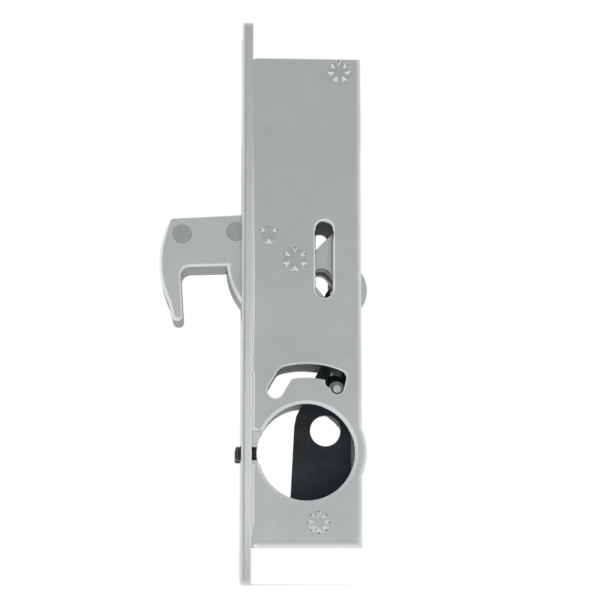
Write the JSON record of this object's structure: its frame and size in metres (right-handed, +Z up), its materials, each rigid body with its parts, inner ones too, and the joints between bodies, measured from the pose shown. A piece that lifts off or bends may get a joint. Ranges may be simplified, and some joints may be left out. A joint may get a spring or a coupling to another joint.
{
  "type": "mortise hook lock",
  "caption": "Narrow mortise lock with a long faceplate, a pivoting laminated hook bolt and a round cylinder hole through both side plates, shown locked.",
  "frame": {"origin": "on the axis of the cylinder hole, halfway through the case's thickness", "axes": "+X from the faceplate into the door, +Z up, +Y from the near side plate to the far one"},
  "size_m": [0.0642, 0.026, 0.1746],
  "materials": {
    "plate_steel": "zinc-plated stamped steel",
    "faceplate_steel": "zinc-plated steel bar, lightly burnished",
    "bolt_steel": "zinc-plated steel laminations with rounded edges",
    "pin_steel": "plated steel",
    "bright_steel": "bright plated steel",
    "black_steel": "black oxide on steel",
    "black_screw": "black oxide on steel"
  },
  "bodies": {
    "case": {"faceplate": "faceplate_steel", "side_plate_near": "plate_steel", "side_plate_far": "plate_steel", "case_wall": "plate_steel", "upper_lug": "plate_steel", "lower_lug": "plate_steel", "faceplate_screws": "bright_steel", "clamp_block": "bright_steel", "cylinder_set_screws": "black_screw", "top_post": "pin_steel", "stop_post": "pin_steel", "pivot_post": "pin_steel", "bottom_post": "pin_steel"},
    "bolt": {"bolt_lamination_1": "bolt_steel", "bolt_lamination_2": "bolt_steel", "bolt_lamination_3": "bolt_steel", "bolt_lamination_4": "bolt_steel", "bolt_lamination_5": "bolt_steel", "front_bolt_rivet": "bolt_steel", "rear_bolt_rivet": "bolt_steel", "pivot_bush": "bright_steel"},
    "lever": {"lever": "black_steel", "lever_bush": "bright_steel", "link_rivet": "pin_steel", "deadlock_spring": "pin_steel"},
    "link": {"link": "black_steel", "tail_pin": "pin_steel", "tail_collar": "pin_steel"},
    "deadlock": {"deadlock_pin": "pin_steel", "deadlock_rollers": "pin_steel", "deadlock_washer": "black_steel"}
  },
  "joints": [
    {"name": "bolt_pivot", "type": "hinge", "parent": "case", "child": "bolt", "pos_m": [-0.0036, 0, 0.0592], "axis": [0, 1, 0], "range_deg": [0, 98]},
    {"name": "lever_pivot", "type": "hinge", "parent": "case", "child": "lever", "pos_m": [0.0036, 0, -0.0212], "axis": [0, 1, 0], "range_deg": [-25.6, 0]},
    {"name": "link_pivot", "type": "hinge", "parent": "lever", "child": "link", "pos_m": [0.011, 0, 0.0306], "axis": [0, 1, 0], "range_deg": [0, 25.6]},
    {"name": "deadlock_swing", "type": "hinge", "parent": "case", "child": "deadlock", "pos_m": [-0.00025, 0, 0.0146], "axis": [0, 1, 0], "range_deg": [-128.5, 0], "deforming": ["deadlock_spring"]}
  ],
  "couplings": [
    {"joint": "lever_pivot", "follows": "bolt_pivot", "ratio": -0.2602},
    {"joint": "link_pivot", "follows": "bolt_pivot", "ratio": 0.2602},
    {"joint": "deadlock_swing", "follows": "bolt_pivot", "ratio": -1.3061}
  ]
}
